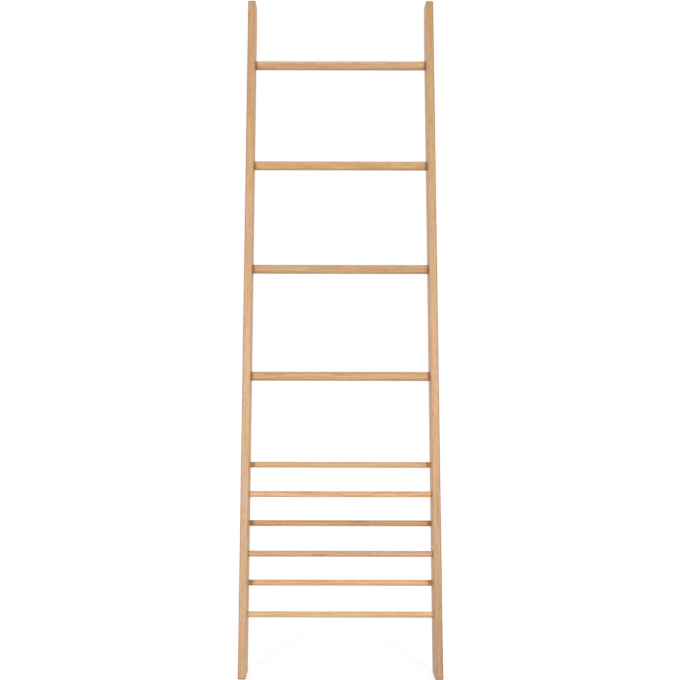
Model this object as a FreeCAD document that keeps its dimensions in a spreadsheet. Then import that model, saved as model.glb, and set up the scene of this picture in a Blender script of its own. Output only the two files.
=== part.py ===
import FreeCAD, Part
import os
import re

import Sketcher

# A blanket ladder that leans on a wall: two oak stiles, four round rungs screwed between them,
# and six slim rungs held in blind bores, in a front row and a back row that take turns.
#
# Millimetres and degrees. X runs across the ladder, +Y is the wall side and +Z is up. The
# origin is on the floor, in the middle of the leaning ladder's width and depth. Along a stile,
# "rise" is measured from its floor end up its front edge, and "inset" from its front face back.

SIZES = [
    ("ladder_width", 600, "outside to outside of the stiles"),
    ("stile_length", 2110, "front edge of a stile"),
    ("stile_depth", 70, "front face to back face of a stile"),
    ("stile_thickness", 24, "outer face to inner face of a stile"),
    ("lean_angle", 7.5, "lean from plumb; both ends of the stiles are cut level at this angle"),
    ("edge_rounding", 4, "radius along the stiles' long edges"),
    ("end_easing", 1, "radius round the stiles' cut ends"),
    ("wall_flat_height", 76, "plumb flat at the top of each stile's back edge"),
    ("rung_count", 4, "thick rungs"),
    ("rung_diameter", 28, "thick rung"),
    ("rung_shoulder", 4, "step from a thick rung down to its tenon"),
    ("rung_end_easing", 0.5, "chamfer round the shoulder"),
    ("rung_inset", 35, "front face of the stile to the centre of a thick rung"),
    ("top_rung_drop", 205, "top end of the stile to the top rung"),
    ("rung_group_gap", 271, "lowest thick rung to highest slim rung"),
    ("slim_rung_count", 6, "slim rungs"),
    ("slim_rung_diameter", 17.5, "slim rung"),
    ("slim_rung_pitch", 88, "slim rung to slim rung along the stile"),
    ("slim_row_inset", 21, "nearer face of the stile to the centre of a slim row"),
    ("lowest_rung_rise", 180, "floor end of the stile to the lowest slim rung"),
    ("slim_bore_web", 9.5, "wood left behind the bore of a slim rung"),
    ("dowel_chamfer", 1, "chamfer on the ends of tenons and slim rungs"),
    ("joint_fit", 0.05, "clearance all round a tenon, slim rung, screw or plug"),
    ("seat_end_gap", 0.5, "clearance past the end of a tenon, slim rung or screw"),
    ("screw_web", 5.5, "wood that a screw head pulls against"),
    ("screw_diameter", 5, "rung screw"),
    ("screw_length", 45, "rung screw, under its head"),
    ("screw_point_length", 6, "taper at the screw's tip"),
    ("screw_head_diameter", 9.4, "rung screw"),
    ("screw_head_height", 2.5, "rung screw"),
    ("screw_head_chamfer", 0.8, "round the outer edge of the head"),
    ("screw_head_clearance", 0.3, "all round the head in its counterbore"),
    ("drive_width", 3, "square drive recess"),
    ("drive_depth", 1.6, "square drive recess"),
    ("plug_thickness", 3.2, "oak plug over a screw head"),
    ("plug_chamfer", 0.4, "lead-in on the plug's inner edge"),
    ("plug_gap", 0.3, "plug to screw head"),
    ("pad_thickness", 1.5, "foot and wall pads"),
    ("pad_margin", 1.5, "flat wood left showing round a pad"),
    ("wall_pad_height", 50, "keeps the pad's lower edge inside the line of the stile's back face"),
    ("pad_corner_radius", 3, "foot and wall pads"),
]

# Sizes that follow from the ones above.
COUNTERBORE_DEPTH = "(plug_thickness + plug_gap + screw_head_height)"
COUNTERBORE_DIAMETER = "(screw_head_diameter + 2 * screw_head_clearance)"
SCREW_HOLE_DIAMETER = "(screw_diameter + 2 * joint_fit)"
PLUG_RADIUS = f"({COUNTERBORE_DIAMETER} / 2 - joint_fit)"
MORTISE_DEPTH = f"(stile_thickness - {COUNTERBORE_DEPTH} - screw_web)"
MORTISE_DIAMETER = "(rung_diameter - 2 * rung_shoulder + 2 * joint_fit)"
SLIM_BORE_DEPTH = "(stile_thickness - slim_bore_web)"
SLIM_BORE_DIAMETER = "(slim_rung_diameter + 2 * joint_fit)"
HALF_SPAN = "(ladder_width / 2 - stile_thickness)"
TENON_END = f"({HALF_SPAN} + {MORTISE_DEPTH} - seat_end_gap)"
SCREW_TIP = f"({COUNTERBORE_DEPTH} + screw_length)"
PILOT_BOTTOM = f"(ladder_width / 2 - {SCREW_TIP} - seat_end_gap)"
TOP_SLIM_RISE = "(lowest_rung_rise + (slim_rung_count - 1) * slim_rung_pitch)"
LOWEST_THICK_RISE = f"({TOP_SLIM_RISE} + rung_group_gap)"
RUNG_PITCH = f"((stile_length - top_rung_drop - {LOWEST_THICK_RISE}) / (rung_count - 1))"
FOOT_DEPTH = "(stile_depth / cos(lean_angle))"
WALL_FLAT_SETBACK = "(wall_flat_height * tan(lean_angle))"
LADDER_DEPTH = (
    f"(stile_length * sin(lean_angle) + {FOOT_DEPTH} - {WALL_FLAT_SETBACK} + pad_thickness)"
)
TOP_HEIGHT = "(pad_thickness + stile_length * cos(lean_angle))"

SIDES = {"left": 1, "right": -1}  # the way along X from each stile's outer face to its inner one

doc = FreeCAD.newDocument("blanket_ladder")
sheet = doc.addObject("Spreadsheet::Sheet", "Sizes")
for row, (alias, value, meaning) in enumerate(SIZES, start=1):
    sheet.set(f"A{row}", alias)
    sheet.set(f"B{row}", str(value))
    sheet.setAlias(f"B{row}", alias)
    sheet.set(f"C{row}", meaning)
doc.recompute()

ALIASES = {alias for alias, value, meaning in SIZES}


def on_sheet(formula):
    """The formula with each size's name pointed at its cell."""
    return re.sub(r"[a-z_]+", lambda w: f"Sizes.{w[0]}" if w[0] in ALIASES else w[0], formula)


def bind(target, path, formula):
    target.setExpression(path, on_sheet(formula))


def number(formula):
    return float(sheet.evalExpression(on_sheet(formula)))


def origin_plane(body, role):
    return next(plane for plane in body.Origin.OriginFeatures if plane.Role == role)


def new_body(label):
    body = doc.addObject("PartDesign::Body", label)
    body.Label = label
    return body


def new_sketch(body, name, role, offset="0"):
    """A sketch on one of the body's own planes, or the given distance along its normal."""
    sketch = body.newObject("Sketcher::SketchObject", f"{body.Name}_{name}")
    sketch.AttachmentSupport = [(origin_plane(body, role), "")]
    sketch.MapMode = "FlatFace"
    bind(sketch, "AttachmentOffset.Base.z", offset)
    return sketch


def dimension(sketch, kind, parts, formula, name):
    """A driving constraint, bound to the sheet."""
    index = sketch.addConstraint(Sketcher.Constraint(kind, *parts, number(formula)))
    sketch.renameConstraint(index, name)
    bind(sketch, f"Constraints.{name}", formula)


def closed_outline(sketch, points):
    """Line segments through the points and back to the first one."""
    for start, end in zip(points, points[1:] + points[:1]):
        sketch.addGeometry(Part.LineSegment(FreeCAD.Vector(*start), FreeCAD.Vector(*end)))
    count = len(points)
    for line in range(count):
        following = (line + 1) % count
        sketch.addConstraint(Sketcher.Constraint("Coincident", line, 2, following, 1))


def dimensioned_outline(sketch, corners):
    """A closed outline whose corners are each dimensioned from the sketch's origin."""
    closed_outline(sketch, [(number(x), number(y), 0) for x, y in corners])
    for corner, (x, y) in enumerate(corners):
        dimension(sketch, "DistanceX", (-1, 1, corner, 1), x, f"x{corner}")
        if y == "0":
            sketch.addConstraint(Sketcher.Constraint("PointOnObject", corner, 1, -1))
        else:
            dimension(sketch, "DistanceY", (-1, 1, corner, 1), y, f"y{corner}")


def circles(sketch, diameter, centres):
    for index, (x, y) in enumerate(centres):
        centre = FreeCAD.Vector(number(x), number(y), 0)
        normal = FreeCAD.Vector(0, 0, 1)
        sketch.addGeometry(Part.Circle(centre, normal, number(diameter) / 2))
        dimension(sketch, "DistanceX", (-1, 1, index, 3), x, f"x{index}")
        dimension(sketch, "DistanceY", (-1, 1, index, 3), y, f"y{index}")
        dimension(sketch, "Diameter", (index,), diameter, f"diameter{index}")


def extrude(kind, sketch, name, length, reverse=False):
    """A Pad or a Pocket of the sketch. A Pocket has to take wood away."""
    body = sketch.getParentGeoFeatureGroup()
    before = body.Shape.Volume if body.Tip else 0
    feature = body.newObject(f"PartDesign::{kind}", f"{body.Name}_{name}")
    feature.Profile = sketch
    feature.Reversed = reverse
    bind(feature, "Length", length)
    doc.recompute()
    if kind == "Pocket" and feature.Shape.Volume >= before:
        raise RuntimeError(f"{feature.Name} cuts nothing")
    return feature


def round_edges(base, name, radius, chosen):
    """A fillet on those edges of the feature that the test picks out."""
    body = base.getParentGeoFeatureGroup()
    names = [f"Edge{i}" for i, edge in enumerate(base.Shape.Edges, start=1) if chosen(edge)]
    fillet = body.newObject("PartDesign::Fillet", f"{body.Name}_{name}")
    fillet.Base = (base, names)
    bind(fillet, "Radius", radius)
    doc.recompute()
    return fillet


def runs_along(edge, direction):
    """Whether a straight edge lies within a few degrees of the direction."""
    if not isinstance(edge.Curve, Part.Line):
        return False
    return abs(edge.Curve.Direction.dot(direction)) > 0.95


def place_level(body, across, depth, height):
    bind(body, "Placement", f"placement(vector({across}; {depth}; {height}); rotation(0; 0; 0))")


def place_leaning(body, across, rise, inset):
    """Put the body's origin at a place on the leaning stiles and turn the body with them."""
    depth = (
        f"-{LADDER_DEPTH} / 2 + ({rise}) * sin(lean_angle) + ({inset}) * cos(lean_angle)"
    )
    height = f"pad_thickness + ({rise}) * cos(lean_angle) - ({inset}) * sin(lean_angle)"
    lean = "rotation(vector(-1; 0; 0); lean_angle)"
    bind(body, "Placement", f"placement(vector({across}; {depth}; {height}); {lean})")


def rung_rise(rung):
    return f"stile_length - top_rung_drop - {rung - 1} * {RUNG_PITCH}"


def slim_rung_rise(rung):
    return f"lowest_rung_rise + (slim_rung_count - {rung}) * slim_rung_pitch"


def slim_rung_inset(rung):
    """The odd rungs, counted from the top, are in the back row."""
    return "stile_depth - slim_row_inset" if rung % 2 else "slim_row_inset"


RUNGS = range(1, int(number("rung_count")) + 1)
SLIM_RUNGS = range(1, int(number("slim_rung_count")) + 1)


def outer_face(side):
    return f"{-SIDES[side]} * ladder_width / 2"


def side_profile(sketch):
    """A stile seen from its side: level at both ends, with a plumb flat at the top back corner."""
    length = number("stile_length")
    depth = number("stile_depth")
    slope = number("tan(lean_angle)")
    flat_top = depth - number("wall_flat_height * sin(lean_angle)")
    flat_bottom_rise = length + flat_top * slope - number("wall_flat_height * cos(lean_angle)")
    closed_outline(
        sketch,
        [
            (0, 0, 0),
            (0, length, 0),
            (flat_top, length + flat_top * slope, 0),
            (depth, flat_bottom_rise, 0),
            (depth, depth * slope, 0),
        ],
    )
    front, top_cut, wall_flat, back, foot_cut = range(5)
    sketch.addConstraint(Sketcher.Constraint("Coincident", front, 1, -1, 1))
    sketch.addConstraint(Sketcher.Constraint("Vertical", front))
    sketch.addConstraint(Sketcher.Constraint("Vertical", back))
    sketch.addConstraint(Sketcher.Constraint("Parallel", top_cut, foot_cut))
    sketch.addConstraint(Sketcher.Constraint("Perpendicular", top_cut, wall_flat))
    dimension(sketch, "DistanceY", (front, 1, front, 2), "stile_length", "length")
    dimension(sketch, "DistanceX", (-1, 1, back, 1), "stile_depth", "depth")
    dimension(sketch, "Distance", (wall_flat,), "wall_flat_height", "wall_flat")
    rise_at_back = "stile_depth * tan(lean_angle)"
    dimension(sketch, "DistanceY", (-1, 1, foot_cut, 1), rise_at_back, "rise_at_back")


def make_stile(side):
    """An upright board, rounded along its edges, bored on its inner face for every rung."""
    inward = SIDES[side]
    body = new_body(f"stile_{side}")
    profile = new_sketch(body, "profile", "YZ_Plane")
    side_profile(profile)
    board = extrude("Pad", profile, "board", "stile_thickness", reverse=inward < 0)

    upward = FreeCAD.Vector(0, 0, 1)
    rounded = round_edges(board, "rounding", "edge_rounding", lambda e: runs_along(e, upward))
    ends = [0, number("stile_length")]
    slope = number("tan(lean_angle)")

    def on_end(edge):
        rises = [vertex.Z - vertex.Y * slope for vertex in edge.Vertexes]
        return any(max(abs(rise - end) for rise in rises) < 0.01 for end in ends)

    round_edges(rounded, "easing", "end_easing", on_end)

    inner_face = f"{inward} * stile_thickness"
    rung_centres = [("rung_inset", rung_rise(rung)) for rung in RUNGS]
    mortises = new_sketch(body, "mortises", "YZ_Plane", inner_face)
    circles(mortises, MORTISE_DIAMETER, rung_centres)
    extrude("Pocket", mortises, "rung_mortises", MORTISE_DEPTH, reverse=inward < 0)

    bores = new_sketch(body, "bores", "YZ_Plane", inner_face)
    slim_centres = [(slim_rung_inset(rung), slim_rung_rise(rung)) for rung in SLIM_RUNGS]
    circles(bores, SLIM_BORE_DIAMETER, slim_centres)
    extrude("Pocket", bores, "slim_bores", SLIM_BORE_DEPTH, reverse=inward < 0)

    counterbores = new_sketch(body, "counterbores", "YZ_Plane")
    circles(counterbores, COUNTERBORE_DIAMETER, rung_centres)
    extrude("Pocket", counterbores, "plug_bores", COUNTERBORE_DEPTH, reverse=inward > 0)

    screw_holes = new_sketch(body, "screw_holes", "YZ_Plane")
    circles(screw_holes, SCREW_HOLE_DIAMETER, rung_centres)
    through_web = f"stile_thickness - {MORTISE_DEPTH}"
    extrude("Pocket", screw_holes, "screw_clearance", through_web, reverse=inward > 0)

    place_leaning(body, outer_face(side), "0", "0")


def turned(label, corners):
    """A piece turned on a lathe along X, from its half section in axial and radial sizes."""
    body = new_body(label)
    section = new_sketch(body, "section", "XY_Plane")
    dimensioned_outline(section, corners)
    solid = body.newObject("PartDesign::Revolution", f"{label}_turned")
    solid.Profile = section
    solid.ReferenceAxis = (section, ["H_Axis"])
    solid.Angle = 360
    doc.recompute()
    return body


def both_ways(half):
    """The half section of one end, and its mirror image at the other end."""
    return [(f"-{x}", r) for x, r in half] + [(x, r) for x, r in reversed(half)]


def make_rung(rung):
    """A thick rung: shoulders on the stiles' inner faces, a tenon and a pilot hole in each end."""
    radius = "(rung_diameter / 2)"
    tenon_radius = "(rung_diameter / 2 - rung_shoulder)"
    pilot_radius = f"{SCREW_HOLE_DIAMETER} / 2"
    one_end = [
        (PILOT_BOTTOM, "0"),
        (PILOT_BOTTOM, pilot_radius),
        (TENON_END, pilot_radius),
        (TENON_END, f"{tenon_radius} - dowel_chamfer"),
        (f"({TENON_END} - dowel_chamfer)", tenon_radius),
        (HALF_SPAN, tenon_radius),
        (HALF_SPAN, f"{radius} - rung_end_easing"),
        (f"({HALF_SPAN} - rung_end_easing)", radius),
    ]
    body = turned(f"rung_{rung}", both_ways(one_end))
    place_leaning(body, "0", rung_rise(rung), "rung_inset")


def make_slim_rung(rung):
    """A plain dowel that ends in a blind bore in each stile."""
    end = f"({HALF_SPAN} + {SLIM_BORE_DEPTH} - seat_end_gap)"
    radius = "slim_rung_diameter / 2"
    one_end = [
        (end, "0"),
        (end, f"{radius} - dowel_chamfer"),
        (f"({end} - dowel_chamfer)", radius),
    ]
    body = turned(f"slim_rung_{rung}", both_ways(one_end))
    place_leaning(body, "0", slim_rung_rise(rung), slim_rung_inset(rung))


def make_screw(rung, side):
    """A flat-headed wood screw from the counterbore, through the stile, into the rung's end."""
    inward = SIDES[side]
    head = "(plug_thickness + plug_gap)"
    half_section = [
        (head, "0"),
        (head, "screw_head_diameter / 2 - screw_head_chamfer"),
        (f"({head} + screw_head_chamfer)", "screw_head_diameter / 2"),
        (COUNTERBORE_DEPTH, "screw_head_diameter / 2"),
        (COUNTERBORE_DEPTH, "screw_diameter / 2"),
        (f"({SCREW_TIP} - screw_point_length)", "screw_diameter / 2"),
        (SCREW_TIP, "0"),
    ]
    body = turned(f"rung_screw_{rung}_{side}", [(f"{inward} * {x}", r) for x, r in half_section])
    drive = new_sketch(body, "drive", "YZ_Plane", f"{inward} * {head}")
    half = "drive_width / 2"
    minus_half = "-drive_width / 2"
    square = [(minus_half, minus_half), (half, minus_half), (half, half), (minus_half, half)]
    dimensioned_outline(drive, square)
    extrude("Pocket", drive, "drive_recess", "drive_depth", reverse=inward > 0)
    place_leaning(body, outer_face(side), rung_rise(rung), "rung_inset")


def make_plug(rung, side):
    """An oak plug that closes a counterbore flush with the stile's outer face."""
    half_section = [
        ("0", "0"),
        ("0", PLUG_RADIUS),
        ("(plug_thickness - plug_chamfer)", PLUG_RADIUS),
        ("plug_thickness", f"{PLUG_RADIUS} - plug_chamfer"),
        ("plug_thickness", "0"),
    ]
    corners = [(f"{SIDES[side]} * {x}", r) for x, r in half_section]
    body = turned(f"screw_plug_{rung}_{side}", corners)
    place_leaning(body, outer_face(side), rung_rise(rung), "rung_inset")


def make_pad(label, role, width, height):
    """A thin pad with rounded corners, centred on its body's origin."""
    body = new_body(label)
    outline = new_sketch(body, "outline", role)
    x = f"({width}) / 2"
    y = f"({height}) / 2"
    dimensioned_outline(outline, [(f"-{x}", f"-{y}"), (x, f"-{y}"), (x, y), (f"-{x}", y)])
    pad = extrude("Pad", outline, "thickness", "pad_thickness")
    through = outline.Placement.Rotation.multVec(FreeCAD.Vector(0, 0, 1))
    round_edges(pad, "corners", "pad_corner_radius", lambda e: runs_along(e, through))
    return body


def make_pads(side):
    """A pad under the stile's foot, and one on its plumb flat where it leans on the wall."""
    across = f"{-SIDES[side]} * (ladder_width - stile_thickness) / 2"
    foot_width = "stile_thickness - 2 * (end_easing + pad_margin)"
    foot_length = f"{FOOT_DEPTH} - 2 * (end_easing + pad_margin)"
    foot = make_pad(f"foot_pad_{side}", "XY_Plane", foot_width, foot_length)
    place_level(foot, across, f"{FOOT_DEPTH} / 2 - {LADDER_DEPTH} / 2", "0")

    wall_width = "stile_thickness - 2 * (edge_rounding + pad_margin)"
    wall = make_pad(f"wall_pad_{side}", "XZ_Plane", wall_width, "wall_pad_height")
    flat_middle = f"{TOP_HEIGHT} - wall_flat_height / 2"
    place_level(wall, across, f"{LADDER_DEPTH} / 2", flat_middle)


for side in SIDES:
    make_stile(side)
    make_pads(side)
for rung in RUNGS:
    make_rung(rung)
    for side in SIDES:
        make_screw(rung, side)
        make_plug(rung, side)
for rung in SLIM_RUNGS:
    make_slim_rung(rung)

doc.recompute()
for thing in doc.Objects:
    if {"Invalid", "Error"} & set(thing.State):
        raise RuntimeError(f"{thing.Name} did not compute: {thing.State}")

bodies = [thing for thing in doc.Objects if thing.TypeId == "PartDesign::Body"]
for body in bodies:
    if body.Shape.isNull() or not body.Shape.isValid() or len(body.Shape.Solids) != 1:
        raise RuntimeError(f"{body.Label} is not one valid solid")

os.makedirs("parts", exist_ok=True)
for body in bodies:
    body.Shape.exportStep(f"parts/{body.Label}.step")
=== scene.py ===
import math

import bmesh
import bpy
from mathutils import Euler, Matrix, Vector


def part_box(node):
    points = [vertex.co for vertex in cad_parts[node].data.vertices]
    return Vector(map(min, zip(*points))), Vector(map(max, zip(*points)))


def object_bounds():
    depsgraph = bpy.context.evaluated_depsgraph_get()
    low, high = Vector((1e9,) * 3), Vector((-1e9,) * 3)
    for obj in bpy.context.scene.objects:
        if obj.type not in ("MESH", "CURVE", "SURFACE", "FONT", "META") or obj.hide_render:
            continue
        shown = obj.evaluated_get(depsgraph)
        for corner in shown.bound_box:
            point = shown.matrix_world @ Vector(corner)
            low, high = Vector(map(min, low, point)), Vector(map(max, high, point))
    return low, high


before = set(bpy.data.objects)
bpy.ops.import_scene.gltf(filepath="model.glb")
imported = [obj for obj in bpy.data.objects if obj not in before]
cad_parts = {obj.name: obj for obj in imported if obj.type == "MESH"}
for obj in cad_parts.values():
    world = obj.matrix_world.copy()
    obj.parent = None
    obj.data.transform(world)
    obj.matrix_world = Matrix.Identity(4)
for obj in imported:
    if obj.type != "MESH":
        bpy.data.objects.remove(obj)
cad_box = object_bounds()

# A blanket ladder in oiled oak, seen head-on in front of white. Metres, in the frame of the CAD
# model: X across, +Y towards the wall, +Z up. The CAD solids carry the shapes, and the materials
# below give each piece its own cut of oak, with the grain running along the piece.

LEAN = math.radians(7.5)
ACROSS = Vector((1, 0, 0))
UP_THE_STILE = Vector((0, math.sin(LEAN), math.cos(LEAN)))
THROUGH_THE_STILE = Vector((0, math.cos(LEAN), -math.sin(LEAN)))
STILE_DEPTH = 0.070
TOP = cad_box[1][2]
SIDES = {"left": -1, "right": 1}
THICK_RUNGS = (1, 2, 3, 4)


def middle(node):
    low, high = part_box(node)
    return (low + high) / 2


def srgb(red, green, blue):
    """A colour picked on an 8-bit display scale, as the linear values that nodes take."""
    def linear(channel):
        value = channel / 255
        return value / 12.92 if value <= 0.04045 else ((value + 0.055) / 1.055) ** 2.4
    return (linear(red), linear(green), linear(blue), 1.0)


# Tools for node trees


class Nodes:
    """Adds nodes to a tree. An input is a plain value or another node's output."""

    def __init__(self, tree):
        self.tree = tree

    def add(self, kind, inputs=None, **settings):
        node = self.tree.nodes.new(kind)
        for name, value in settings.items():
            setattr(node, name, value)
        for name, value in (inputs or {}).items():
            if isinstance(value, bpy.types.NodeSocket):
                self.tree.links.new(value, node.inputs[name])
            else:
                node.inputs[name].default_value = value
        return node

    def coordinates(self):
        """Object is the place in the frame, in metres, and Normal is the way the surface faces."""
        return self.add("ShaderNodeTexCoord").outputs

    def math(self, operation, first, second=0.0):
        return self.add("ShaderNodeMath", {0: first, 1: second}, operation=operation).outputs[0]

    def vector(self, operation, first, second=(0, 0, 0)):
        node = self.add("ShaderNodeVectorMath", {0: first, 1: second}, operation=operation)
        return node.outputs["Value" if operation in ("LENGTH", "DOT_PRODUCT") else "Vector"]

    def split(self, vector):
        return self.add("ShaderNodeSeparateXYZ", {0: vector}).outputs

    def join(self, x, y=0.0, z=0.0):
        return self.add("ShaderNodeCombineXYZ", {0: x, 1: y, 2: z}).outputs[0]

    def noise(self, place, size, detail=2.0, roughness=0.5, output="Fac"):
        """Soft noise whose blotches are about as large as size, in the units of place."""
        scaled = self.vector("DIVIDE", place, size)
        inputs = {"Vector": scaled, "Scale": 1.0, "Detail": detail, "Roughness": roughness}
        return self.add("ShaderNodeTexNoise", inputs).outputs[output]

    def cells(self, place, size):
        """Distance from the middle of the nearest of scattered cells of about that size."""
        scaled = self.vector("DIVIDE", place, size)
        return self.add("ShaderNodeTexVoronoi", {"Vector": scaled, "Scale": 1.0}).outputs["Distance"]

    def blots(self, place, size, solid, gone, strength=1.0):
        """Scattered blots, at full strength out to solid from a cell's middle and gone past gone."""
        return self.between(self.cells(place, size), solid, gone, strength, 0.0)

    def between(self, value, low, high, at_low=0.0, at_high=1.0):
        """The value's place between low and high, smoothed, as a number from at_low to at_high."""
        inputs = {"Value": value, "From Min": low, "From Max": high, "To Min": at_low, "To Max": at_high}
        return self.add("ShaderNodeMapRange", inputs, interpolation_type="SMOOTHSTEP").outputs[0]

    def spread(self, noise, low=0.0, high=1.0):
        """Noise, most of which lies from 0.3 to 0.7, spread out from low to high."""
        return self.between(noise, 0.3, 0.7, low, high)

    def ramp(self, value, stops):
        node = self.add("ShaderNodeValToRGB", {"Fac": value})
        elements = node.color_ramp.elements
        while len(elements) < len(stops):
            elements.new(0.5)
        for element, (position, colour) in zip(elements, stops):
            element.position = position
            element.color = colour
        return node.outputs["Color"]

    def mix(self, factor, first, second, blend="MIX"):
        inputs = {0: factor, 6: first, 7: second}
        return self.add("ShaderNodeMix", inputs, data_type="RGBA", blend_type=blend).outputs[2]

    def bump(self, height, depth, strength):
        """The normals of a relief. Depth is how far it reaches, in metres."""
        inputs = {"Height": height, "Distance": depth, "Strength": strength}
        return self.add("ShaderNodeBump", inputs).outputs[0]


def grey(level):
    return (level, level, level, 1)


def new_material(name):
    material = bpy.data.materials.new(name)
    material.use_nodes = True
    material.node_tree.nodes.clear()
    return material, Nodes(material.node_tree)


def give_surface(n, inputs):
    shader = n.add("ShaderNodeBsdfPrincipled", inputs)
    n.add("ShaderNodeOutputMaterial", {"Surface": shader.outputs[0]})


# The oak that all wooden pieces are cut from. Its features are in millimetres, across the grain
# both ways and then along it.

MM_PER_METRE = 1000
TRUNK_BEND = (160, 160, 620)
BEND_REACH = (26, 26, 0)
RING_EDGE = (3.5, 3.5, 60)
PORE = (0.62, 0.62, 7.5)
SMALL_PORE = (0.36, 0.36, 4.5)
FIBRE = (0.4, 0.4, 14)
FINE_STREAK = (1.7, 1.7, 80)
BROAD_STREAK = (5.5, 5.5, 200)
ROSY_DRIFT = (30, 30, 420)
BOARD_FLECK = (3.4, 3.4, 16)
DOWEL_FLECK = (2.4, 2.4, 40)

# A ray flake's size round the trunk, out from the pith and along the trunk, and the distance from
# the pith at which that first size is true.
RAY_FLAKE = (1.5, 11, 15)
RAY_RADIUS = 70.0

# A ring's mean width, and the distance out from the pith over which the widths drift. The last two
# are how many rings the drift, and the raggedness of a ring's edge, shift them by at most.
RING_WIDTH = 2.8
RING_DRIFT = 13
DRIFT_SHIFT = 2.4
EDGE_SHIFT = 0.55

# How open the wood is from the start of a ring, at 0, to the start of the next one, at 1.
RING_OPENNESS = ((0.0, 0.85), (0.14, 1.0), (0.42, 0.22), (0.7, 0.0), (0.95, 0.0), (1.0, 0.85))

# The wood's two hues, each from its darkest to its palest, and the features that lie in it.
TAN_WOOD = (srgb(227, 180, 129), srgb(248, 210, 164))
ROSY_WOOD = (srgb(221, 171, 131), srgb(247, 206, 171))
POROUS_WOOD = srgb(196, 145, 98)
DARK_FLECK = srgb(186, 130, 84)
PALE_FLECK = srgb(248, 216, 176)
PALE_RAY = srgb(246, 212, 172)
DEEP_PORE = srgb(128, 82, 48)

# These multiply the colour, so they darken it.
# Painted shade on stile edges and ends, painted shadow on rung ends, and the darker finish round the plugs.
PAINTED_SHADE_AND_FINISH_TINT = srgb(200, 180, 160)
END_GRAIN_TINT = srgb(170, 122, 82)
FIBRE_SHADE = 0.88

# How strongly each shows in the colour.
POROUS_SHOWS = 0.34
DARK_FLECK_SHOWS = 0.34
PALE_FLECK_SHOWS = 0.40
RAYS_SHOW = 0.26
PORES_SHOW = 0.72
END_GRAIN_SHOWS = 0.5

# The roughness where the fine streaks are darkest and palest, and what is added or taken away.
OAK_ROUGHNESS = (0.44, 0.52)
PORES_ROUGHEN = 0.2
RAYS_SMOOTH = 0.06
FINISH_AND_SHADE_SMOOTH = 0.06

# Heights next to the depth of a pore.
FIBRE_HEIGHT = 0.22
POROUS_DEPTH = 0.12

OAK_INPUTS = {
    "Place": "Vector",
    "Fleck": "Vector",
    "End Grain": "Float",
    "Oiled": "Float",
    "Tint": "Color",
    "Rosy": "Float",
}
OAK_OUTPUTS = {"Color": "Color", "Roughness": "Float", "Height": "Float"}


def bend_of_trunk(n, place):
    """The place in a trunk that bends along its length, which draws its rings into long figures."""
    noise = n.noise(place, TRUNK_BEND, detail=1.0, output="Color")
    bend = n.vector("SUBTRACT", noise, (0.5, 0.5, 0.5))
    return n.vector("ADD", place, n.vector("MULTIPLY", bend, BEND_REACH))


def growth_rings(n, bent, radius):
    """Rings of uneven width. Each starts with a porous band and ends in dense wood."""
    uneven = n.math("MULTIPLY", n.noise(n.join(radius), (RING_DRIFT, 1, 1), detail=1.0), DRIFT_SHIFT)
    ragged = n.math("MULTIPLY", n.noise(bent, RING_EDGE), EDGE_SHIFT)
    count = n.math("ADD", n.math("DIVIDE", radius, RING_WIDTH), n.math("ADD", uneven, ragged))
    return n.ramp(n.math("FRACT", count), [(stop, grey(level)) for stop, level in RING_OPENNESS])


def open_pores(n, bent, porous):
    """Pores cut open: dark dashes, dense in the porous bands and sparse and fine elsewhere."""
    dashes = n.blots(bent, PORE, solid=0.14, gone=0.36)
    in_bands = n.math("MULTIPLY", dashes, n.between(porous, 0.2, 0.8))
    small = n.blots(bent, SMALL_PORE, solid=0.10, gone=0.27, strength=0.45)
    return n.math("MAXIMUM", in_bands, small)


def ray_flakes(n, bent, radius):
    """Rays run out from the pith. They are pale flakes where the surface lies along them."""
    x, y, z = n.split(bent)
    round_trunk = n.math("MULTIPLY", n.math("ARCTAN2", y, x), RAY_RADIUS)
    return n.blots(n.join(round_trunk, radius, z), RAY_FLAKE, solid=0.14, gone=0.32)


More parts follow.
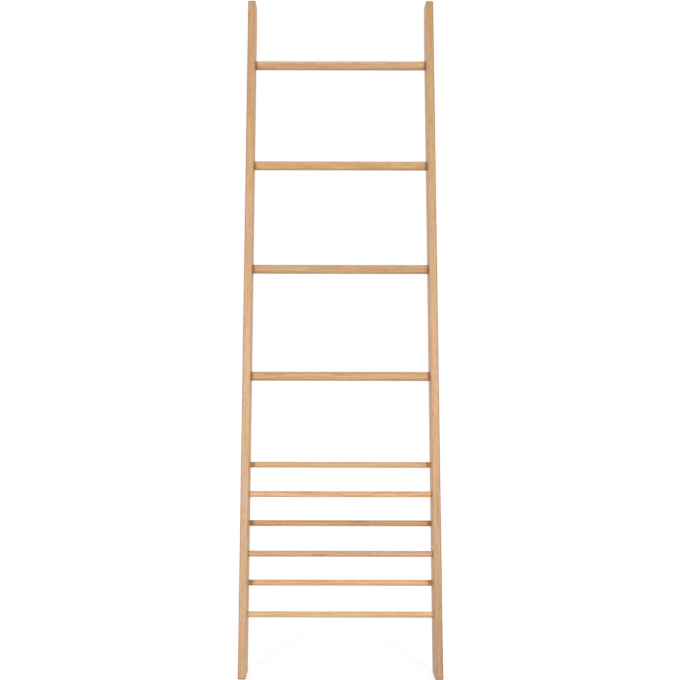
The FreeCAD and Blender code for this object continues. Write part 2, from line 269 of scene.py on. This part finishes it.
def make_oak():
    """Oak as a solid: growth rings round a pith, open pores, rays and streaks along the grain.

    Place is in metres with the pith on its Z axis. End Grain is 1 where the surface cuts across it,
    and Finish And Painted Shade is 1 where the colour is darkened: painted shade on a stile's edges and
    ends, a painted shadow of the stiles on a rung's ends, and the darker finish round a plug. Tint is
    the piece's own colour, with a painted highlight on the upper sides of the top rungs, and Fleck is
    about how large its flecks are, in millimetres, the last number along the grain.
    """
    tree = bpy.data.node_groups.new("oak", "ShaderNodeTree")
    for way, sockets in (("INPUT", OAK_INPUTS), ("OUTPUT", OAK_OUTPUTS)):
        for name, kind in sockets.items():
            tree.interface.new_socket(name, in_out=way, socket_type=f"NodeSocket{kind}")
    n = Nodes(tree)
    given = n.add("NodeGroupInput").outputs
    place = n.vector("MULTIPLY", given["Place"], (MM_PER_METRE, MM_PER_METRE, MM_PER_METRE))

    bent = bend_of_trunk(n, place)
    radius = n.vector("LENGTH", n.vector("MULTIPLY", bent, (1, 1, 0)))
    porous = growth_rings(n, bent, radius)
    open_grain = open_pores(n, bent, porous)
    rays = ray_flakes(n, bent, radius)
    fibre = n.noise(bent, FIBRE)
    fine_streak = n.noise(bent, FINE_STREAK)
    fleck = n.noise(bent, given["Fleck"], detail=3.0, roughness=0.6)

    # The colour, from the broad streaks down to the pores.
    tan = n.mix(n.between(n.noise(bent, BROAD_STREAK), 0.32, 0.68), *TAN_WOOD)
    rosy = n.mix(n.spread(fine_streak), *ROSY_WOOD)
    drift = n.spread(n.noise(place, ROSY_DRIFT, detail=1.0), 0.5, 1.0)
    wood = n.mix(n.math("MULTIPLY", drift, given["Rosy"]), tan, rosy)
    wood = n.mix(n.math("MULTIPLY", porous, POROUS_SHOWS), wood, POROUS_WOOD)
    wood = n.mix(n.between(fleck, 0.30, 0.50, DARK_FLECK_SHOWS, 0.0), wood, DARK_FLECK)
    wood = n.mix(n.between(fleck, 0.54, 0.74, 0.0, PALE_FLECK_SHOWS), wood, PALE_FLECK)
    wood = n.mix(n.math("MULTIPLY", rays, RAYS_SHOW), wood, PALE_RAY)
    wood = n.mix(n.math("MULTIPLY", open_grain, PORES_SHOW), wood, DEEP_PORE)

    # What darkens it: the piece's own tint, which on the top rungs is paler on the upper side as a painted
    # highlight, the fibres, painted shade on the stiles' edges and ends, a painted shadow of the stiles on
    # the rung ends, the darker finish round the plugs and a cut end.
    wood = n.mix(1.0, wood, given["Tint"], "MULTIPLY")
    shade = n.between(fibre, 0.25, 0.75, FIBRE_SHADE, 1.0)
    shade = n.add("ShaderNodeCombineColor", {0: shade, 1: shade, 2: shade}).outputs[0]
    wood = n.mix(1.0, wood, shade, "MULTIPLY")
    # Painted shade and shadow, and the darker finish round the plugs.
    wood = n.mix(given["Oiled"], wood, PAINTED_SHADE_AND_FINISH_TINT, "MULTIPLY")
    cut_across = n.math("MULTIPLY", given["End Grain"], END_GRAIN_SHOWS)
    wood = n.mix(cut_across, wood, END_GRAIN_TINT, "MULTIPLY")

    # Open pores are rougher, and rays, the places with painted shade and the plug rims are glossier.
    rough = n.spread(fine_streak, *OAK_ROUGHNESS)
    rough = n.math("ADD", rough, n.math("MULTIPLY", open_grain, PORES_ROUGHEN))
    rough = n.math("SUBTRACT", rough, n.math("MULTIPLY", rays, RAYS_SMOOTH))
    rough = n.math("SUBTRACT", rough, n.math("MULTIPLY", given["Oiled"], FINISH_AND_SHADE_SMOOTH))

    # The fibres stand up a little, and the porous bands and the pores lie lower.
    relief = n.math("MULTIPLY", fibre, FIBRE_HEIGHT)
    relief = n.math("SUBTRACT", relief, n.math("MULTIPLY", porous, POROUS_DEPTH))
    relief = n.math("SUBTRACT", relief, open_grain)
    n.add("NodeGroupOutput", {"Color": wood, "Roughness": rough, "Height": relief})
    return tree


OAK = make_oak()


# How each wooden piece was cut from the oak

TINT_HEIGHTS = (0.0, 0.35, 0.9, 1.3, 1.75)
# The pale colour of the painted highlight on the rungs' upper sides.
HIGHLIGHT_TINT = (0.95, 0.98, 0.98, 1)
MINERAL_TINT = (0.60, 0.50, 0.44, 1)


class Cut:
    """How one piece was cut from the tree and how it came out, with the grain along the piece.

    Pith is how far its middle lies from the pith, in metres, across the grain both ways. Tint
    multiplies the oak's colour, and is one colour or a list of those at TINT_HEIGHTS, in metres
    above the floor. Rosy is how pink the oak is. Along is how far up the trunk the piece lies, in
    metres, and spin turns it round its own length, in radians. End shadow reach is how far from the
    stiles, in metres, a painted shadow of the stiles darkens its ends. Top highlight is how strongly a
    painted highlight pales its upper side. Streaks are its dark mineral streaks, each with its place
    from the piece's middle, its half sizes and its strength.
    """

    def __init__(self, pith, tint, rosy, along=0.0, spin=0.0, gathered=0.0, rubbed=0.0, streaks=()):
        self.pith, self.tint, self.rosy = pith, tint, rosy
        self.along, self.spin = along, spin
        self.gathered, self.rubbed, self.streaks = gathered, rubbed, streaks


LEFT_TINTS = [
    (0.87, 0.84, 0.80),
    (0.81, 0.81, 0.79),
    (0.82, 0.81, 0.80),
    (0.83, 0.81, 0.77),
    (0.82, 0.77, 0.68),
]
RIGHT_TINTS = [
    (0.67, 0.61, 0.58),
    (0.76, 0.73, 0.68),
    (0.82, 0.78, 0.74),
    (0.82, 0.80, 0.76),
    (0.80, 0.75, 0.66),
]
STILE_STREAK = ((0.003, -0.11, -0.57), (0.003, 0.05, 0.11), 0.6)
STILE_CUTS = {
    "left": Cut((0.062, 0.028), LEFT_TINTS, rosy=0.6, along=-1.7),
    "right": Cut((0.071, -0.034), RIGHT_TINTS, rosy=0.6, along=1.7, streaks=[STILE_STREAK]),
}

# How far from the stiles a painted shadow of the stiles darkens the rung ends, on thick rungs and on each
# row of slim ones.
THICK, BACK_ROW, FRONT_ROW = 0.008, 0.015, 0.004

LONG_STREAK = ((0.055, -0.002, 0.007), (0.05, 0.012, 0.005), 0.7)
SHORT_STREAK = ((-0.062, -0.007, -0.002), (0.04, 0.008, 0.004), 0.9)
RUNG_CUTS = {
    # Top highlight is a painted highlight, strongest on the top rung.
    "rung_1": Cut((0.030, 0.052), (0.74, 0.68, 0.58), 0.2, gathered=THICK, rubbed=0.9),
    "rung_2": Cut((0.055, 0.010), (0.76, 0.70, 0.61), 0.2, gathered=THICK, rubbed=0.62),
    "rung_3": Cut((0.041, 0.037), (0.71, 0.65, 0.57), 0.2, gathered=THICK, rubbed=0.38),
    "rung_4": Cut((0.024, 0.060), (0.78, 0.71, 0.62), 0.3, gathered=THICK),
    "slim_rung_1": Cut((0.048, 0.030), (0.88, 0.85, 0.82), 0.4, gathered=BACK_ROW),
    "slim_rung_2": Cut((0.033, 0.041), (0.95, 0.87, 0.79), 0.3, gathered=FRONT_ROW),
    "slim_rung_3": Cut((0.060, 0.022), (0.76, 0.65, 0.54), 0.2, gathered=BACK_ROW, streaks=[LONG_STREAK]),
    "slim_rung_4": Cut((0.028, 0.050), (0.86, 0.79, 0.75), 0.5, gathered=FRONT_ROW, streaks=[SHORT_STREAK]),
    "slim_rung_5": Cut((0.052, 0.018), (0.955, 0.90, 0.84), 0.5, gathered=BACK_ROW),
    "slim_rung_6": Cut((0.037, 0.046), (1.0, 1.0, 1.0), 0.5, gathered=FRONT_ROW),
}

# Each rung comes from further up its trunk than the one before, and is turned further round.
TRUNK_STEP = 0.9
SPIN_STEP = 1.1
for index, cut in enumerate(RUNG_CUTS.values()):
    cut.along, cut.spin = TRUNK_STEP * index, SPIN_STEP * index

# A plug's grain is only roughly in line with the stile's. The turns are in degrees, top to bottom.
PLUG_TURNS = {"left": (9, -14, 6, 17), "right": (-11, 5, 15, -7)}
PLUG_TINTS = ((0.72, 0.66, 0.58), (0.82, 0.79, 0.75))
PLUG_ROSY = 0.4
PLUG_PITH = (0.03, 0.02)
PLUG_PITH_STEP = 0.007
PLUG_TRUNK_STEP = 0.37


def plug_cut(number, side):
    x, y = PLUG_PITH
    pith = (x + PLUG_PITH_STEP * number, y)
    along = PLUG_TRUNK_STEP * number * SIDES[side]
    return Cut(pith, PLUG_TINTS[number % 2], PLUG_ROSY, along)


def plug_grain(number, side):
    turn = math.radians(PLUG_TURNS[side][number - 1])
    grain = UP_THE_STILE.copy()
    grain.rotate(Matrix.Rotation(turn, 3, ACROSS))
    return grain


def rubbed_tint(n, tint, coordinates, rubbed):
    """The tint, paler where the surface faces up, as a painted highlight with a border that wanders."""
    upwards = n.split(coordinates["Normal"])[2]
    wander = n.spread(n.noise(coordinates["Object"], (0.03, 0.006, 0.006)), -0.12, 0.12)
    highlit = n.between(n.math("ADD", upwards, wander), 0.0, 0.28, 0.0, rubbed)
    return n.mix(highlit, tint, HIGHLIGHT_TINT)


def streaked_tint(n, tint, place, centre, half_size, strength):
    """The tint with one dark mineral streak in it, a long blot with a ragged edge."""
    from_centre = n.vector("SUBTRACT", place, tuple(centre))
    out = n.vector("LENGTH", n.vector("DIVIDE", from_centre, half_size))
    tatter = tuple(0.4 * size for size in half_size)
    ragged = n.spread(n.noise(place, tatter, detail=3.0), -0.3, 0.3)
    dark = n.between(n.math("ADD", out, ragged), 0.2, 1.0, strength, 0.0)
    return n.mix(dark, tint, n.mix(1.0, tint, MINERAL_TINT, "MULTIPLY"))


def tint_of(n, cut, centre, coordinates):
    """The piece's tint, as a plain colour or as what the nodes make of it."""
    place = coordinates["Object"]
    if isinstance(cut.tint, list):
        height = n.math("DIVIDE", n.split(place)[2], TOP)
        stops = zip(TINT_HEIGHTS, cut.tint)
        tint = n.ramp(height, [(stop / TOP, (*colour, 1)) for stop, colour in stops])
    else:
        tint = (*cut.tint, 1)
    # A painted highlight on the upper side of a rung.
    if cut.rubbed:
        tint = rubbed_tint(n, tint, coordinates, cut.rubbed)
    for offset, half_size, strength in cut.streaks:
        tint = streaked_tint(n, tint, place, centre + Vector(offset), half_size, strength)
    return tint


def oak_material(node, grain, fleck, cut, finish_and_shade_mask):
    """Oak for one piece. The last argument makes, from Nodes and the place in the frame, the value for
    painted shade and for the darker finish round a plug.
    """
    material, n = new_material(f"oak_{node}")
    centre = middle(node)
    upright = grain.rotation_difference(Vector((0, 0, 1))).to_matrix()
    turn = Euler((0, 0, cut.spin)).to_matrix() @ upright
    move = Vector((*cut.pith, cut.along)) - turn @ centre
    coordinates = n.coordinates()
    mapping = {"Vector": coordinates["Object"], "Location": move, "Rotation": turn.to_euler("XYZ")}
    faces_along = n.math("ABSOLUTE", n.vector("DOT_PRODUCT", coordinates["Normal"], tuple(grain)))
    inputs = {
        "Place": n.add("ShaderNodeMapping", mapping, vector_type="POINT").outputs[0],
        "End Grain": n.between(faces_along, 0.45, 0.9),
        "Oiled": finish_and_shade_mask(n, coordinates["Object"]),
        "Tint": tint_of(n, cut, centre, coordinates),
        "Rosy": cut.rosy,
        "Fleck": fleck,
    }
    oak = n.add("ShaderNodeGroup", inputs, node_tree=OAK).outputs
    give_surface(n, {
        "Base Color": oak["Color"],
        "Roughness": oak["Roughness"],
        "Normal": n.bump(oak["Height"], depth=0.0001, strength=0.6),
        "IOR": 1.5,
        "Specular IOR Level": 0.5,
    })
    return material


# Where the colour is darkened: painted shade on the stiles' edges and ends, a painted shadow of the
# stiles on the rung ends, and a darker finish where it runs into the hairline round a plug. Each band
# has the distances from the edge, in metres, at which it starts and at which it is full, and its full
# strength. Above 1, it is full sooner.

EDGE_BAND, EDGE_PAINTED_SHADE = (0.0052, 0.0022), 0.42
END_BAND, TOP_END_PAINTED_SHADE, FOOT_END_PAINTED_SHADE = (0.0045, 0.0005), 0.8, 0.6
RIM_BAND, RIM_OIL = (0.0007, 0.0001), 2.0

# On a rung the band is the painted shadow of a stile, as long as the shadowed stretch and full over this
# part, by the stile.
FULL_PART, RUNG_END_PAINTED_SHADOW = 0.7, 0.57


def stile_edge_shade(stile):
    """Painted shade on the long rounded edges of a stile and on its ends. The outer edges take most."""
    low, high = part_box(stile)
    half_width = (high.x - low.x) / 2
    half_depth = STILE_DEPTH / 2
    corner = half_width + half_depth
    inner_face = min(abs(low.x), abs(high.x))
    outer_face = inner_face + 2 * half_width
    starts, full = EDGE_BAND
    end_starts, end_full = END_BAND

    def finish_and_shade_mask(n, place):
        x, _, z = n.split(place)

        # The distances from the board's middle, sideways and through it, add up to most at an edge.
        from_front = n.vector("SUBTRACT", place, ((low.x + high.x) / 2, low.y, low.z))
        sideways = n.math("ABSOLUTE", n.vector("DOT_PRODUCT", from_front, tuple(ACROSS)))
        behind = n.vector("DOT_PRODUCT", from_front, tuple(THROUGH_THE_STILE))
        deep = n.math("ABSOLUTE", n.math("SUBTRACT", behind, half_depth))
        wander = n.spread(n.noise(place, (0.004, 0.004, 0.03)), -0.0006, 0.0006)
        reach = n.math("ADD", n.math("ADD", sideways, deep), wander)
        # Painted shade on the rounded edges, most on the outer ones, and on both ends.
        outer_side_shade = n.between(n.math("ABSOLUTE", x), inner_face, outer_face, 0.0, EDGE_PAINTED_SHADE)
        edge = n.math("MULTIPLY", n.between(reach, corner - starts, corner - full), outer_side_shade)
        top_end = n.between(z, TOP - end_starts, TOP - end_full, 0.0, TOP_END_PAINTED_SHADE)
        foot_end = n.between(z, low.z + end_full, low.z + end_starts, FOOT_END_PAINTED_SHADE, 0.0)
        return n.math("MAXIMUM", edge, n.math("MAXIMUM", top_end, foot_end))

    return finish_and_shade_mask


def rung_end_shadow(gathered):
    """A painted shadow of the stiles on the ends of a rung, over the last stretch beside each stile."""
    inner_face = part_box("stile_right")[0].x

    def finish_and_shade_mask(n, place):
        out = n.math("ABSOLUTE", n.split(place)[0])
        wander = n.spread(n.noise(place, (0.006, 0.003, 0.003)), -0.15, 0.15)
        # The painted shadow of the stile: full next to it and gone past the reach.
        strength = n.between(out, inner_face - gathered, inner_face - FULL_PART * gathered)
        return n.math("MULTIPLY", strength, n.math("ADD", RUNG_END_PAINTED_SHADOW, wander))

    return finish_and_shade_mask


def rim_of_plug(node):
    """The rim of a plug, where the finish runs into the hairline round it."""
    low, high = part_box(node)
    radius = (high.z - low.z) / 2
    starts, full = RIM_BAND

    def finish_and_shade_mask(n, place):
        from_middle = n.vector("SUBTRACT", place, tuple(middle(node)))
        out = n.vector("LENGTH", n.vector("MULTIPLY", from_middle, (0, 1, 1)))
        return n.between(out, radius - starts, radius - full, 0.0, RIM_OIL)

    return finish_and_shade_mask


# The materials of the fittings, with their features in metres


def steel_material():
    """Cloudy zinc on steel, with fine marks turned round the shank."""
    material, n = new_material("zinc_plated_steel")
    place = n.coordinates()["Object"]
    cloud = n.noise(place, (0.004, 0.004, 0.004), detail=3.0)
    turned = n.noise(place, (0.0004, 0.006, 0.006), detail=1.0)
    give_surface(n, {
        "Base Color": n.mix(n.spread(cloud), srgb(176, 174, 168), srgb(212, 209, 200)),
        "Roughness": n.spread(cloud, 0.28, 0.42),
        "Metallic": 1.0,
        "Normal": n.bump(turned, depth=0.00003, strength=0.5),
    })
    return material


def rubber_material():
    """Dusty grey rubber with a pebbled skin."""
    material, n = new_material("foot_rubber")
    place = n.coordinates()["Object"]
    dust = n.noise(place, (0.006, 0.006, 0.006), detail=3.0)
    pebble = n.cells(place, (0.0011, 0.0011, 0.0011))
    give_surface(n, {
        "Base Color": n.mix(n.between(dust, 0.35, 0.75), srgb(96, 88, 80), srgb(128, 118, 107)),
        "Roughness": n.spread(dust, 0.72, 0.85),
        "Normal": n.bump(pebble, depth=0.0001, strength=0.6),
        "Specular IOR Level": 0.3,
    })
    return material


def felt_material():
    """Pressed felt: matted fibres, paler wisps on them and a few dark flecks."""
    material, n = new_material("wall_felt")
    place = n.coordinates()["Object"]
    wisps = n.noise(place, (0.0009, 0.0003, 0.0005), detail=4.0, roughness=0.7)
    mats = n.noise(place, (0.004, 0.004, 0.004), detail=3.0)
    fleck = n.blots(place, (0.0016, 0.0016, 0.0016), solid=0.1, gone=0.25, strength=0.5)
    colour = n.mix(n.spread(mats), srgb(160, 138, 112), srgb(186, 164, 136))
    colour = n.mix(n.between(wisps, 0.35, 0.7, 0.0, 0.55), colour, srgb(206, 188, 162))
    colour = n.mix(fleck, colour, srgb(122, 102, 80))
    give_surface(n, {
        "Base Color": colour,
        "Roughness": 0.95,
        "Normal": n.bump(wisps, depth=0.0003, strength=0.9),
        "Specular IOR Level": 0.15,
        "Sheen Weight": 0.35,
        "Sheen Roughness": 0.5,
    })
    return material


def dress(node, material):
    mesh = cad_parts[node].data
    if not mesh.materials:
        mesh.materials.append(material)
    for index in range(len(mesh.materials)):
        mesh.materials[index] = material


for side, cut in STILE_CUTS.items():
    stile = f"stile_{side}"
    dress(stile, oak_material(stile, UP_THE_STILE, BOARD_FLECK, cut, stile_edge_shade(stile)))
for rung, cut in RUNG_CUTS.items():
    dress(rung, oak_material(rung, ACROSS, DOWEL_FLECK, cut, rung_end_shadow(cut.gathered)))

steel, rubber, felt = steel_material(), rubber_material(), felt_material()
for side in SIDES:
    dress(f"foot_pad_{side}", rubber)
    dress(f"wall_pad_{side}", felt)
    for number in THICK_RUNGS:
        dress(f"rung_screw_{number}_{side}", steel)
        plug = f"screw_plug_{number}_{side}"
        grain, cut = plug_grain(number, side), plug_cut(number, side)
        dress(plug, oak_material(plug, grain, BOARD_FLECK, cut, rim_of_plug(plug)))


# The room. The floor reflects what light reaches it, shadow included, and the glow that only the
# camera and mirrors see brings its open parts up to white. Less light reaches it further from the
# ladder, so there it glows more, half way to the far glow at 1 m. The world looks white too, and
# lights the ladder only faintly.

WHITE = (1, 1, 1, 1)
FLOOR_REACH = 30
FLOOR_COLOUR = 0.6
NEAR_FLOOR_GLOW = 0.52
FAR_FLOOR_GLOW = 0.70
AMBIENT = 0.05


def seen_directly(n):
    """1 for rays from the camera, in mirrors and through glass, 0 for the light itself."""
    path = n.add("ShaderNodeLightPath").outputs
    reflected = n.math("MAXIMUM", path["Is Glossy Ray"], path["Is Transmission Ray"])
    return n.math("MAXIMUM", path["Is Camera Ray"], reflected)


def floor_material():
    material, n = new_material("white_floor")
    diffuse = n.add("ShaderNodeBsdfDiffuse", {"Color": grey(FLOOR_COLOUR)})
    metres_away = n.vector("LENGTH", n.coordinates()["Object"])
    less = n.math("DIVIDE", FAR_FLOOR_GLOW - NEAR_FLOOR_GLOW, n.math("ADD", metres_away, 1.0))
    strength = n.math("MULTIPLY", seen_directly(n), n.math("SUBTRACT", FAR_FLOOR_GLOW, less))
    glow = n.add("ShaderNodeEmission", {"Color": WHITE, "Strength": strength})
    both = n.add("ShaderNodeAddShader", {0: diffuse.outputs[0], 1: glow.outputs[0]})
    n.add("ShaderNodeOutputMaterial", {"Surface": both.outputs[0]})
    return material


mesh = bpy.data.meshes.new("floor")
shape = bmesh.new()
bmesh.ops.create_grid(shape, x_segments=1, y_segments=1, size=FLOOR_REACH)
shape.to_mesh(mesh)
shape.free()
mesh.materials.append(floor_material())
floor = bpy.data.objects.new("floor", mesh)
bpy.context.scene.collection.objects.link(floor)

world = bpy.data.worlds.new("white_room")
bpy.context.scene.world = world
world.use_nodes = True
world.node_tree.nodes.clear()
n = Nodes(world.node_tree)
strength = n.between(seen_directly(n), 0.0, 1.0, AMBIENT, 1.0)
sky = n.add("ShaderNodeBackground", {"Color": WHITE, "Strength": strength})
n.add("ShaderNodeOutputWorld", {"Surface": sky.outputs[0]})


# The lights. A level of 1 would show a surface that faces the light in its full colour.

SUN_DISTANCE = 4


def softbox(name, place, aim, size, level):
    """A soft rectangular light that gives the level at the point it aims at."""
    light = bpy.data.lights.new(name, "AREA")
    light.shape = "RECTANGLE"
    light.size, light.size_y = size
    lamp = bpy.data.objects.new(name, light)
    away = Vector(place) - Vector(aim)
    light.energy = level * (math.pi * away.length) ** 2
    lamp.location = place
    lamp.rotation_euler = away.to_track_quat("Z", "Y").to_euler()
    bpy.context.scene.collection.objects.link(lamp)


def soft_sun(name, azimuth, elevation, spread, level):
    """A broad light from far away. Azimuth 0 shines from straight in front, 180 from behind."""
    light = bpy.data.lights.new(name, "SUN")
    light.energy = level * math.pi
    light.angle = math.radians(spread)
    lamp = bpy.data.objects.new(name, light)
    turn, rise = math.radians(azimuth), math.radians(elevation)
    towards = Vector((math.sin(turn) * math.cos(rise), -math.cos(turn) * math.cos(rise), math.sin(rise)))
    lamp.rotation_euler = towards.to_track_quat("Z", "Y").to_euler()
    lamp.location = towards * SUN_DISTANCE
    lamp.visible_glossy = False
    bpy.context.scene.collection.objects.link(lamp)


FRONT_HEIGHT = 1.25
FRONT_LEVEL = 0.475
front_aim = (0, 0, FRONT_HEIGHT)
softbox("left_softbox", (-1.31, -2.36, FRONT_HEIGHT), front_aim, (0.6, 1.9), FRONT_LEVEL)
softbox("right_softbox", (1.31, -2.36, FRONT_HEIGHT), front_aim, (0.75, 1.9), FRONT_LEVEL)
softbox("top_softbox", (0, 0.15, 2.95), (0, 0.1, 1.95), (1.6, 0.6), level=0.38)
soft_sun("overhead", azimuth=0, elevation=65, spread=50, level=0.12)
soft_sun("left_fill", azimuth=-105, elevation=15, spread=50, level=0.23)
soft_sun("right_fill", azimuth=105, elevation=15, spread=50, level=0.23)
soft_sun("back_fill", azimuth=180, elevation=45, spread=40, level=0.40)


# The camera looks along +Y, 2.445 m in front of the feet and 35 mm left of the ladder's middle,
# rolled by a fraction of a degree. Its shift sets the ladder in the frame without tilting it.

CAMERA_PLACE = (-0.0345, -2.6138, 0.9472)
CAMERA_ROLL = math.radians(-0.12)
camera_data = bpy.data.cameras.new("camera")
camera_data.lens = 44.456
camera_data.sensor_width = 36
camera_data.shift_x = 0.01569
camera_data.shift_y = 0.02161
camera = bpy.data.objects.new("camera", camera_data)
camera.location = CAMERA_PLACE
camera.rotation_euler = (math.radians(90), CAMERA_ROLL, 0)
bpy.context.scene.collection.objects.link(camera)
bpy.context.scene.camera = camera

bpy.context.scene.view_settings.view_transform = "Standard"
